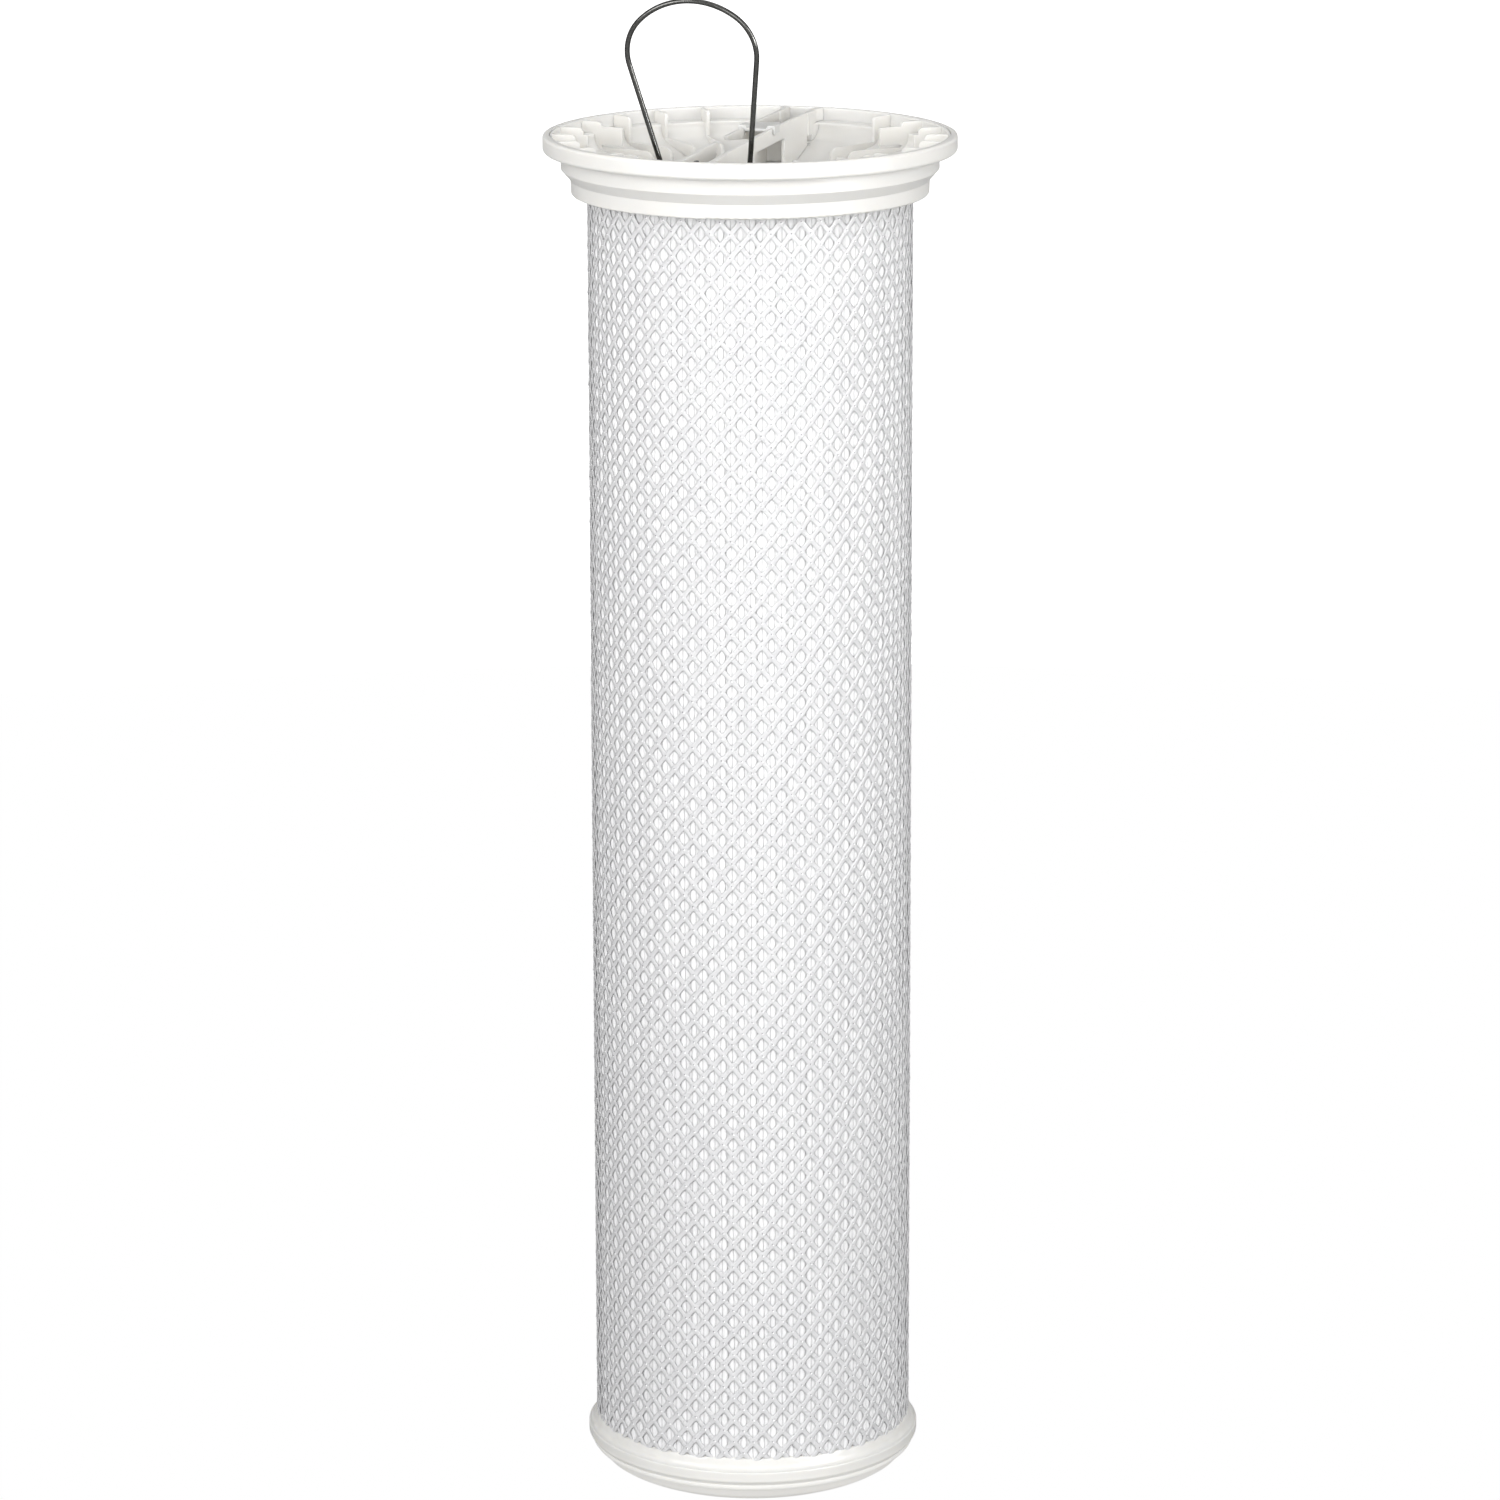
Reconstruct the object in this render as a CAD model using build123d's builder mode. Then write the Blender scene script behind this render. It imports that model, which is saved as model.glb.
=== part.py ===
from build123d import *
import math
import os

os.makedirs("parts", exist_ok=True)

# Pleated filter cartridge with an open inlet funnel and a wire lifting bail.
# Frame: millimetres, +Z up, Z along the cartridge axis, origin on the axis at the
# underside of the bottom cap. The two bridge rails run along Y and the bail
# turns about a line parallel to X near the -Y end of the rails.

# ---------------------------------------------------------------- dimensions
rim_z = 759.5            # height of the funnel's top edge above the base

# flange ring
lip_r = 113.0            # outside radius of the seating lip
lip_top = rim_z + 0.2    # the lip's top face, a hair above the funnel's edge
lip_under = rim_z - 9.0  # underside of the lip, the face that seats
groove_r = 109.3         # inside of the lip, a hairline outside the funnel wall
collar_r = 103.2         # locating collar below the lip
collar_bottom = rim_z - 18.1
shoulder_in_z = rim_z - 17.3  # where the hollow behind the collar starts to narrow
skirt_r = 98.0           # skirt that holds the potting and the pack
cone_bottom = rim_z - 24.0
skirt_bottom = rim_z - 32.1
skirt_in_r = 95.4
collar_in_r = 101.5

# inlet funnel
edge_r_out = 109.0       # thin upper wall
edge_r_in = 107.8
ledge_z = rim_z - 7.0    # step from the upper wall to the bowl wall
bowl_r_in = 99.4
bowl_r_out = 101.3
bowl_round = 8.0         # the bowl's wall rounds into its floor
cone_top_z = rim_z - 15.0
cone_low_z = rim_z - 26.5
throat_r_in = 48.5
throat_r_out = 50.9
cone_low_r = 50.2
spigot_bottom = rim_z - 60.0
wall_t = 1.95
fin_pitch = 15.0         # degrees between fins
fin_t = 1.9
fin_r_in = 95.0
fin_top = rim_z - 0.4
deep_fin_r_in = 81.5     # two fins carry a lower, deeper step
deep_fin_top = rim_z - 2.8
deep_fin_bottom = rim_z - 13.0
vane_r_in = 61.5         # low vanes on the cone floor
vane_top = rim_z - 14.3

# handle bridge
rail_x = 8.2             # centre plane of each rail
rail_t = 2.0
rail_top = rim_z
crown = 1.0              # the rails rise this much towards the middle
pad_x = 9.9              # outer face of the thickened ends
pad_near, pad_far = 77.6, 84.6
band_h = 7.4             # depth of the rail over the throat, below the rim
slot_y0, slot_y1 = 83.3, 91.8
slot_z0, slot_z1 = rim_z - 17.3, rim_z - 12.6

# bail
wire_r = 1.42
pivot_y = -85.5
pivot_z = rim_z - 15.1
pivot_hole_r = 1.5
bail_lean = 11.2         # degrees outwards from vertical, as it stands
bail_skew = 3.7          # hand-formed loop sits a little to one side
bail_half = 35.55        # half width of the loop at its widest
bail_wide_w = 72.1       # height of the widest point above the pivot
bail_rise = 29.45         # loop height above its widest point
side_arc_r = 26.0
top_arc_r = 40.7
leg_taper = 10.6         # degrees

# pack
core_r_in, core_r_out = 51.0, 54.0
core_top = rim_z - 30.05
pack_r_in, pack_r_out = 55.0, 87.5
pleats = 162
sheet_t = 0.8
pack_top = rim_z - 30.2
net_r_in, net_r_out = 87.9, 89.2
net_top = rim_z - 30.05

# bottom cap
cap_top = rim_z - 737.5
cap_r = 93.5
cap_foot_r = 75.0
pack_bottom = cap_top + 0.2
core_bottom = cap_top + 0.05
net_bottom = cap_top + 0.05


def floor_z(r):
    """Height of the funnel's cone floor at radius r."""
    return cone_top_z - (bowl_r_in - r) * (cone_top_z - cone_low_z) / (bowl_r_in - cone_low_r)


def radial_plane(angle):
    """Plane through the axis whose local x points outwards at angle (degrees)."""
    a = math.radians(angle)
    return Plane(origin=(0, 0, 0), x_dir=(math.cos(a), math.sin(a), 0),
                 z_dir=(math.sin(a), -math.cos(a), 0))


# ---------------------------------------------------------------- flange ring
with BuildPart() as flange_ring:
    with BuildSketch(Plane.XZ) as ring_section:
        with BuildLine():
            Polyline((skirt_r, cone_bottom), (skirt_r - 0.4, skirt_bottom),
                     (skirt_in_r, skirt_bottom), (skirt_in_r, cone_bottom - 1.0),
                     (collar_in_r, shoulder_in_z + 0.3), (collar_in_r, lip_under + 0.85),
                     (groove_r, lip_under + 0.85), (groove_r, lip_top), (lip_r, lip_top),
                     (lip_r, lip_under), (collar_r, lip_under), (collar_r, collar_bottom))
            ThreePointArc((collar_r, collar_bottom),
                          ((collar_r + skirt_r) / 2 - 0.12, (collar_bottom + cone_bottom) / 2 - 0.10),
                          (skirt_r, cone_bottom))
        make_face()
        fillet(ring_section.vertices().sort_by_distance((lip_r, lip_top))[0], 1.6)
        fillet(ring_section.vertices().sort_by_distance((lip_r, lip_under))[0], 2.0)
        fillet(ring_section.vertices().sort_by_distance((skirt_r - 0.4, skirt_bottom))[0], 1.1)
    revolve(axis=Axis.Z)

# ---------------------------------------------------------------- inlet funnel
fin_angles = [90 + k * fin_pitch for k in range(24) if k not in (0, 1, 23, 11, 12, 13)]
deep_fins = [90 + 75, 90 - 45]
small_fins = [90 + 90, 90 - 60]
vane_angles = fin_angles

with BuildPart() as inlet_funnel:
    with BuildSketch(Plane.XZ) as funnel_section:
        with BuildLine():
            Polyline((edge_r_in, rim_z - 0.35), (edge_r_in + 0.35, rim_z), (edge_r_out - 0.35, rim_z),
                     (edge_r_out, rim_z - 0.35), (edge_r_out, ledge_z - 1.1),
                     (bowl_r_out, ledge_z - 1.1), (bowl_r_out, cone_top_z - 1.5),
                     (throat_r_out, cone_low_z - wall_t), (throat_r_out, spigot_bottom),
                     (throat_r_in, spigot_bottom), (throat_r_in, cone_low_z - 1.6),
                     (cone_low_r, cone_low_z), (bowl_r_in, cone_top_z), (bowl_r_in, ledge_z),
                     (edge_r_in, ledge_z), close=True)
        make_face()
        fillet(funnel_section.vertices().sort_by_distance((bowl_r_in, cone_top_z))[0], bowl_round)
        fillet(funnel_section.vertices().sort_by_distance((bowl_r_in, ledge_z))[0], 1.0)
    revolve(axis=Axis.Z)
    # wall fins
    with BuildSketch(*[radial_plane(a) for a in fin_angles]) as fin_section:
        with BuildLine():
            Polyline((fin_r_in, floor_z(fin_r_in) - 0.9), (fin_r_in, fin_top), (edge_r_in + 0.5, fin_top),
                     (edge_r_in + 0.5, ledge_z - 0.5), (bowl_r_in + 0.9, ledge_z - 0.5),
                     (bowl_r_in + 0.9, floor_z(bowl_r_in + 0.9) - 0.9), close=True)
        make_face()
        fillet(fin_section.vertices().sort_by_distance((fin_r_in, fin_top))[0], 2.6)
    extrude(amount=fin_t / 2, both=True)
    # the deeper steps on two of the fins
    with BuildSketch(*[radial_plane(a) for a in deep_fins]) as deep_section:
        with BuildLine():
            Polyline((deep_fin_r_in, deep_fin_bottom), (deep_fin_r_in, deep_fin_top),
                     (fin_r_in + 0.6, deep_fin_top), (fin_r_in + 0.6, deep_fin_bottom),
                     close=True)
        make_face()
        fillet(deep_section.vertices().sort_by_distance((deep_fin_r_in, deep_fin_top))[0], 1.0)
        fillet(deep_section.vertices().sort_by_distance((deep_fin_r_in, deep_fin_bottom))[0], 1.0)
    extrude(amount=fin_t / 2, both=True)
    with BuildSketch(*[radial_plane(a) for a in small_fins]):
        with BuildLine():
            Polyline((fin_r_in - 2.8, floor_z(fin_r_in - 2.8) - 0.9), (fin_r_in - 2.8, rim_z - 4.2),
                     (fin_r_in + 0.6, rim_z - 4.2), (fin_r_in + 0.6, floor_z(fin_r_in) - 0.9),
                     close=True)
        make_face()
    extrude(amount=fin_t / 2, both=True)
    # low vanes on the cone floor
    with BuildSketch(*[radial_plane(a) for a in vane_angles]) as vane_section:
        with BuildLine():
            Polyline((vane_r_in, floor_z(vane_r_in) - 0.9), (vane_r_in, vane_top), (bowl_r_in + 0.9, vane_top),
                     (bowl_r_in + 0.9, floor_z(bowl_r_in + 0.9) - 0.9), close=True)
        make_face()
        fillet(vane_section.vertices().sort_by_distance((vane_r_in, vane_top))[0], 5.0)
    extrude(amount=fin_t / 2, both=True)

# ---------------------------------------------------------------- handle bridge
gap = 0.1                # clearance between the bridge and the funnel


rail_y = edge_r_in - 0.6   # the rails run this far each way, then the bowl trims them
rail_low = floor_z(cone_low_r) + gap


right_plane = Plane(origin=(rail_x, 0, 0), x_dir=(0, 1, 0), z_dir=(1, 0, 0))
left_plane = Plane(origin=(-rail_x, 0, 0), x_dir=(0, 1, 0), z_dir=(1, 0, 0))

with BuildPart() as handle_bridge:
    # right rail: a solid web with one long window over the throat
    with BuildSketch(right_plane) as right_rail:
        with BuildLine():
            ThreePointArc((rail_y, rail_top), (0, rail_top + crown), (-rail_y, rail_top))
            Polyline((-rail_y, rail_top), (-rail_y, rail_low), (rail_y, rail_low), (rail_y, rail_top))
        make_face()
        with BuildLine():
            Polyline((-22.4, rail_top - band_h), (37.6, rail_top - band_h), (37.6, cone_low_z - 1),
                     (-22.4, cone_low_z - 1), close=True)
        make_face(mode=Mode.SUBTRACT)
        fillet(right_rail.vertices().sort_by_distance((-22.4, rail_top - band_h))[0], 3.0)
        fillet(right_rail.vertices().sort_by_distance((37.6, rail_top - band_h))[0], 1.2)
    extrude(amount=rail_t / 2, both=True)
    # left rail: the band over the throat ends in a tapered tongue beside a notch
    with BuildSketch(left_plane) as left_rail:
        with BuildLine():
            ThreePointArc((rail_y, rail_top), (0, rail_top + crown), (-rail_y, rail_top))
            Polyline((-rail_y, rail_top), (-rail_y, rail_low), (rail_y, rail_low), (rail_y, rail_top))
        make_face()
        with BuildLine():
            Polyline((28.0, rail_top - 6.9), (-11.6, rail_top - 2.3), (-18.6, rail_top - 1.2),
                     (-21.0, rail_top + 2.0), (-38.2, rail_top + 2.0), (-42.0, rail_top - 5.0),
                     (-42.0, cone_low_z - 1), (28.0, cone_low_z - 1), close=True)
        make_face(mode=Mode.SUBTRACT)
        fillet(left_rail.vertices().sort_by_distance((28.0, rail_top - 6.9))[0], 2.0)
    extrude(amount=rail_t / 2, both=True)
    # thickened ends round the wire holes, flared where they meet the wall
    for sx, sy, pad_y in ((1, 1, pad_far), (1, -1, pad_near), (-1, 1, pad_near), (-1, -1, pad_far)):
        with BuildSketch(Plane.XY.offset(floor_z(pad_near) - 1.0)):
            with BuildLine():
                Polyline((sx * (rail_x + rail_t / 2 - 0.2), sy * pad_y), (sx * pad_x, sy * pad_y),
                         (sx * pad_x, sy * 93.0), (sx * (pad_x + 1.0), sy * 96.5), (sx * (pad_x + 2.8), sy * 100.0),
                         (sx * (rail_x + rail_t / 2 - 0.2), sy * 100.0), close=True)
            make_face()
        extrude(amount=ledge_z - 0.4 - floor_z(pad_near) + 1.0)
        with BuildSketch(Plane.XY.offset(ledge_z - 0.4)):
            with BuildLine():
                Polyline((sx * (rail_x + rail_t / 2 - 0.2), sy * pad_y), (sx * pad_x, sy * pad_y),
                         (sx * pad_x, sy * 100.5), (sx * (pad_x + 1.0), sy * 104.0), (sx * (pad_x + 2.8), sy * 107.6),
                         (sx * (rail_x + rail_t / 2 - 0.2), sy * 107.6), close=True)
            make_face()
        extrude(amount=rail_top - ledge_z + 0.4)
    # low cross webs tie the rails together
    for y in (-60.0, 60.0):
        with BuildSketch(Plane(origin=(0, y, 0), x_dir=(1, 0, 0), z_dir=(0, -1, 0))):
            with BuildLine():
                Polyline((-rail_x, floor_z(60) + 0.5), (rail_x, floor_z(60) + 0.5), (rail_x, rail_top - 10.0),
                         (-rail_x, rail_top - 10.0), close=True)
            make_face()
        extrude(amount=0.9, both=True)
    # thin stiffening rib on the left rail's inner face
    with BuildSketch(Plane.XY.offset(floor_z(86) + 0.5)):
        with Locations((-rail_x + rail_t / 2 + 0.3, 86.0)):
            Rectangle(1.2, 1.3)
    extrude(amount=rail_top + 0.25 - floor_z(86) - 0.5)
    # the whole bridge stays clear of the bowl it sits in
    with BuildSketch(Plane.XZ) as clear_section:
        with BuildLine():
            Polyline((cone_low_r - 1.0, cone_low_z - 8.0), (cone_low_r - 1.0, floor_z(cone_low_r - 1.0) + gap),
                     (bowl_r_in - gap, cone_top_z + gap), (bowl_r_in - gap, ledge_z + gap),
                     (edge_r_in - gap, ledge_z + gap), (edge_r_in - gap, rim_z + 5.0),
                     (edge_r_out + 5.0, rim_z + 5.0), (edge_r_out + 5.0, cone_low_z - 8.0), close=True)
        make_face()
        fillet(clear_section.vertices().sort_by_distance((bowl_r_in - gap, cone_top_z + gap))[0], bowl_round - gap)
    revolve(axis=Axis.Z, mode=Mode.SUBTRACT)
    # slots at the back end, pivot holes at the front end, small catches under the clip's ears
    with BuildSketch(Plane.YZ.offset(-20)):
        with Locations((15.6, rim_z - 2.3)):
            Rectangle(3.6, 0.9)
    extrude(amount=40, mode=Mode.SUBTRACT)
    with BuildSketch(Plane.YZ.offset(-20)):
        with BuildLine():
            Polyline((slot_y0, slot_z0), (slot_y1, slot_z0), (slot_y1, slot_z1), (slot_y0, slot_z1),
                     close=True)
        make_face()
    extrude(amount=40, mode=Mode.SUBTRACT)
    with BuildSketch(Plane.YZ.offset(-20)):
        with Locations((pivot_y, pivot_z)):
            Circle(pivot_hole_r)
    extrude(amount=40, mode=Mode.SUBTRACT)

# ---------------------------------------------------------------- bridge clip
ear_top = rail_top + 2.7
ear_low = rail_top - 1.7
rail_out = rail_x + rail_t / 2
rail_in = rail_x - rail_t / 2
with BuildPart() as bridge_clip:
    # shelf between the rails
    with BuildSketch(Plane.XY.offset(rail_top - 0.5)):
        with Locations((0, 25.2)):
            Rectangle(2 * rail_in - 0.2, 25.6)
    extrude(amount=1.5)
    # saddle over both rails
    with BuildSketch(Plane(origin=(0, 12.4, 0), x_dir=(1, 0, 0), z_dir=(0, -1, 0))) as ear_section:
        with BuildLine():
            Polyline((-rail_out - 1.3, ear_low), (-rail_out - 0.1, ear_low), (-rail_out - 0.1, rail_top + crown + 0.1),
                     (-rail_in + 0.1, rail_top + crown + 0.1), (-rail_in + 0.1, rail_top - 0.5),
                     (rail_in - 0.1, rail_top - 0.5), (rail_in - 0.1, rail_top + crown + 0.1),
                     (rail_out + 0.1, rail_top + crown + 0.1), (rail_out + 0.1, ear_low), (rail_out + 1.3, ear_low),
                     (rail_out + 1.3, ear_top), (rail_in - 0.9, ear_top), (rail_in - 1.6, rail_top + 1.0),
                     (-rail_in + 1.6, rail_top + 1.0), (-rail_in + 0.9, ear_top), (-rail_out - 1.3, ear_top),
                     close=True)
        make_face()
        fillet(ear_section.vertices().sort_by_distance((-rail_out - 1.3, ear_top))[0], 0.7)
        fillet(ear_section.vertices().sort_by_distance((rail_out + 1.3, ear_top))[0], 0.7)
    extrude(amount=-9.8)

# ---------------------------------------------------------------- wire bail
lean = math.radians(bail_lean)
skew = math.radians(bail_skew)
taper = math.radians(leg_taper)
bail_plane = Plane(origin=(0, pivot_y, pivot_z), x_dir=(1, 0, 0),
                   z_dir=(0, -math.cos(lean), -math.sin(lean)))
rim_w = (rim_z - pivot_z) / math.cos(lean)      # where the loop crosses the rim plane


def skewed(u, w):
    """Turn a point of the loop about the rim-plane centre by the loop's skew."""
    v = w - rim_w
    return (u * math.cos(skew) - v * math.sin(skew), u * math.sin(skew) + v * math.cos(skew) + rim_w)


side_c = bail_half - side_arc_r
top_c = bail_rise - top_arc_r
join = math.atan2(-top_c, side_c)


def side_point(s, ang):
    return skewed(s * (side_c + side_arc_r * math.cos(ang)), bail_wide_w + side_arc_r * math.sin(ang))


def leg_foot(s):
    """Where a leg's straight line reaches the pivot line."""
    a = side_point(s, -taper)
    dx, dw = -s * math.sin(taper), -math.cos(taper)
    dxs = dx * math.cos(skew) - dw * math.sin(skew)
    dws = dx * math.sin(skew) + dw * math.cos(skew)
    t = -a[1] / dws
    return (a[0] + t * dxs, 0.0)


with BuildPart() as bail_handle:
    with BuildLine(bail_plane) as bail_path:
        FilletPolyline((-4.8, 12.5), (-4.8, 0), leg_foot(-1), side_point(-1, -taper), radius=(2.4, 4.0))
        ThreePointArc(side_point(-1, -taper), side_point(-1, (join - taper) / 2), side_point(-1, join))
        ThreePointArc(side_point(-1, join), skewed(0, bail_wide_w + bail_rise), side_point(1, join))
        ThreePointArc(side_point(1, join), side_point(1, (join - taper) / 2), side_point(1, -taper))
        FilletPolyline(side_point(1, -taper), leg_foot(1), (4.8, 0), (4.8, 6.5), radius=(4.0, 2.4))
    with BuildSketch(Plane(bail_path.wire() @ 0, z_dir=bail_path.wire() % 0)):
        Circle(wire_r)
    sweep(path=bail_path.wire())

# ---------------------------------------------------------------- top potting
with BuildPart() as top_potting:
    with BuildSketch(Plane.XZ):
        with BuildLine():
            Polyline((throat_r_out + 0.1, cone_low_z - wall_t - 0.1), (bowl_r_out - 0.1, cone_top_z - 1.66),
                     (bowl_r_out - 0.1, shoulder_in_z + 0.1), (skirt_in_r - 0.05, cone_bottom - 0.9),
                     (skirt_in_r - 0.05, rim_z - 30.0), (throat_r_out + 0.1, rim_z - 30.0), close=True)
        make_face()
    revolve(axis=Axis.Z)

# ---------------------------------------------------------------- core, three lengths
core_joint_1 = core_top - (core_top - core_bottom) / 3
core_joint_2 = core_top - 2 * (core_top - core_bottom) / 3
lap = 4.0
lap_r = 52.5
window_w, window_h = 24.0, 205.0
window_h_upper = 172.0


def core_section(z_low, z_high, socket, spigot):
    """Half section of one core length, with a lap at each joint."""
    pts = [(core_r_in, z_low - (lap if spigot else 0))]
    if spigot:
        pts += [(lap_r - 0.05, z_low - lap), (lap_r - 0.05, z_low)]
    pts += [(core_r_out, z_low), (core_r_out, z_high)]
    if socket:
        pts += [(lap_r, z_high), (lap_r, z_high - lap)]
        pts += [(core_r_in, z_high - lap)]
    else:
        pts += [(core_r_in, z_high)]
    return pts


window_planes = [Plane(origin=(0, 0, 0), x_dir=(-math.sin(math.radians(a)), math.cos(math.radians(a)), 0),
                       z_dir=(math.cos(math.radians(a)), math.sin(math.radians(a)), 0))
                 for a in range(0, 360, 45)]

with BuildPart() as core_upper:
    with BuildSketch(Plane.XZ):
        with BuildLine():
            Polyline(*core_section(core_joint_1, core_top, False, True), close=True)
        make_face()
    revolve(axis=Axis.Z)
    with BuildSketch(*window_planes):
        with Locations((0, (core_top - 30 + core_joint_1) / 2)):
            RectangleRounded(window_w, window_h_upper, 3.0)
    extrude(amount=60, mode=Mode.SUBTRACT)

with BuildPart() as core_middle:
    with BuildSketch(Plane.XZ):
        with BuildLine():
            Polyline(*core_section(core_joint_2, core_joint_1, True, True), close=True)
        make_face()
    revolve(axis=Axis.Z)
    with BuildSketch(*window_planes):
        with Locations((0, (core_joint_1 + core_joint_2) / 2)):
            RectangleRounded(window_w, window_h, 3.0)
    extrude(amount=60, mode=Mode.SUBTRACT)

with BuildPart() as core_lower:
    with BuildSketch(Plane.XZ):
        with BuildLine():
            Polyline(*core_section(core_bottom, core_joint_2, True, False), close=True)
        make_face()
    revolve(axis=Axis.Z)
    with BuildSketch(*window_planes):
        with Locations((0, (core_joint_2 + core_bottom) / 2)):
            RectangleRounded(window_w, window_h, 3.0)
    extrude(amount=60, mode=Mode.SUBTRACT)

# ---------------------------------------------------------------- pleated media
step = 360.0 / pleats


def polar(r, deg):
    return (r * math.cos(math.radians(deg)), r * math.sin(math.radians(deg)))


half_t = sheet_t / 2
tip_half = math.degrees(half_t / pack_r_out)
root_half = math.degrees(half_t / pack_r_in)
run = pack_r_out - pack_r_in
half_pitch = math.pi * pack_r_out / pleats
outer_valley = pack_r_in + run * half_t / half_pitch + 0.5
inner_crest = pack_r_out - run * half_t / half_pitch - 0.5

with BuildPart() as pleated_media:
    with BuildSketch(Plane.XY.offset(pack_bottom)):
        with BuildLine():
            Polyline(*[p for k in range(pleats) for p in (
                polar(pack_r_out, k * step - tip_half), polar(pack_r_out, k * step + tip_half),
                polar(outer_valley, (k + 0.5) * step))], close=True)
        make_face()
        with BuildLine():
            Polyline(*[p for k in range(pleats) for p in (
                polar(inner_crest, k * step), polar(pack_r_in, (k + 0.5) * step - root_half),
                polar(pack_r_in, (k + 0.5) * step + root_half))], close=True)
        make_face(mode=Mode.SUBTRACT)
    extrude(amount=pack_top - pack_bottom)

# bead that closes the pack where its two ends meet, between two pleats at the back
seam_angle = (math.floor(90 / step) + 0.5) * step
with BuildPart() as side_seam:
    with BuildSketch(Plane(origin=(0, 0, pack_bottom),
                           x_dir=(math.cos(math.radians(seam_angle)), math.sin(math.radians(seam_angle)), 0),
                           z_dir=(0, 0, 1))):
        with Locations((82.2, 0)):
            Rectangle(8.0, 1.0)
    extrude(amount=pack_top - pack_bottom)

# ---------------------------------------------------------------- net sleeve
with BuildPart() as net_sleeve:
    with BuildSketch(Plane.XY.offset(net_bottom)):
        Circle(net_r_out)
        Circle(net_r_in, mode=Mode.SUBTRACT)
    extrude(amount=net_top - net_bottom)

# ---------------------------------------------------------------- bottom cap and potting
with BuildPart() as bottom_cap:
    with BuildSketch(Plane.XZ) as cap_section:
        with BuildLine():
            Polyline((0, 0), (cap_foot_r, 0), (79.4, 1.9), (81.9, 3.2), (84.6, 5.0), (88.9, 9.7), (89.5, 10.0),
                     (90.5, 10.9), (91.2, 11.9), (91.5, 13.0), (91.4, 13.9), (91.9, 14.6), (92.4, 15.2), (93.1, 15.9),
                     (cap_r, 16.8), (cap_r, cap_top), (89.2, cap_top), (89.2, cap_top - 9.0), (78.9, 3.4), (0, 3.4),
                     close=True)
        make_face()
        fillet(cap_section.vertices().sort_by_distance((cap_r, cap_top))[0], 0.9)
        fillet(cap_section.vertices().sort_by_distance((cap_foot_r, 0))[0], 2.0)
    revolve(axis=Axis.Z)
    # shallow panel between raised ribs on the underside
    with BuildSketch(Plane.XY):
        Circle(66.0)
        Circle(16.0, mode=Mode.SUBTRACT)
        with PolarLocations(41.0, 12):
            Rectangle(54.0, 2.4, mode=Mode.SUBTRACT)
    extrude(amount=1.2, mode=Mode.SUBTRACT)

with BuildPart() as bottom_potting:
    with BuildSketch(Plane.XZ):
        with BuildLine():
            Polyline((0, 3.5), (78.8, 3.5), (89.1, cap_top - 8.95), (89.1, cap_top - 0.05), (0, cap_top - 0.05),
                     close=True)
        make_face()
    revolve(axis=Axis.Z)

# ---------------------------------------------------------------- export
flange_ring.part.label = "flange_ring"
export_step(flange_ring.part, "parts/flange_ring.step")
inlet_funnel.part.label = "inlet_funnel"
export_step(inlet_funnel.part, "parts/inlet_funnel.step")
handle_bridge.part.label = "handle_bridge"
export_step(handle_bridge.part, "parts/handle_bridge.step")
bridge_clip.part.label = "bridge_clip"
export_step(bridge_clip.part, "parts/bridge_clip.step")
bail_handle.part.label = "bail_handle"
export_step(bail_handle.part, "parts/bail_handle.step")
top_potting.part.label = "top_potting"
export_step(top_potting.part, "parts/top_potting.step")
core_upper.part.label = "core_upper"
export_step(core_upper.part, "parts/core_upper.step")
core_middle.part.label = "core_middle"
export_step(core_middle.part, "parts/core_middle.step")
core_lower.part.label = "core_lower"
export_step(core_lower.part, "parts/core_lower.step")
pleated_media.part.label = "pleated_media"
export_step(pleated_media.part, "parts/pleated_media.step")
side_seam.part.label = "side_seam"
export_step(side_seam.part, "parts/side_seam.step")
net_sleeve.part.label = "net_sleeve"
export_step(net_sleeve.part, "parts/net_sleeve.step")
bottom_cap.part.label = "bottom_cap"
export_step(bottom_cap.part, "parts/bottom_cap.step")
bottom_potting.part.label = "bottom_potting"
export_step(bottom_potting.part, "parts/bottom_potting.step")
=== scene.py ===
import bpy
import math
import random
import numpy as np
from mathutils import Euler, Matrix, Vector


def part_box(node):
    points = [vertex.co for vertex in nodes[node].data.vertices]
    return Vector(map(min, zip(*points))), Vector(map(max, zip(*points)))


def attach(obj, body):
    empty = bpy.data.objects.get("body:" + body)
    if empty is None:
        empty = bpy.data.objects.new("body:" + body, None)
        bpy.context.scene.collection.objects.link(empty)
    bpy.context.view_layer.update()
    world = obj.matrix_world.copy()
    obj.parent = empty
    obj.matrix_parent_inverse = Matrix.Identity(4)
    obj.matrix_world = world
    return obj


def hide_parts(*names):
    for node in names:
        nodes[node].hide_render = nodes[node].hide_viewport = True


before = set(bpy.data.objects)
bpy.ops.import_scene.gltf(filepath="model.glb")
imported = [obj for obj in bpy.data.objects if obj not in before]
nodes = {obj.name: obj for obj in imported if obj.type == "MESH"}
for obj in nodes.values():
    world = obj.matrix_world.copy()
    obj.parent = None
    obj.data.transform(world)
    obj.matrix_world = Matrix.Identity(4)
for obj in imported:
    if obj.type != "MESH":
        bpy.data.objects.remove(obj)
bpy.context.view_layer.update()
random.seed(7)
rng = np.random.default_rng(7)

RIM = 0.7595
WORLD_BACK, WORLD_FRONT, WORLD_TOP = 0.34, 1.00, 0.09

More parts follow.
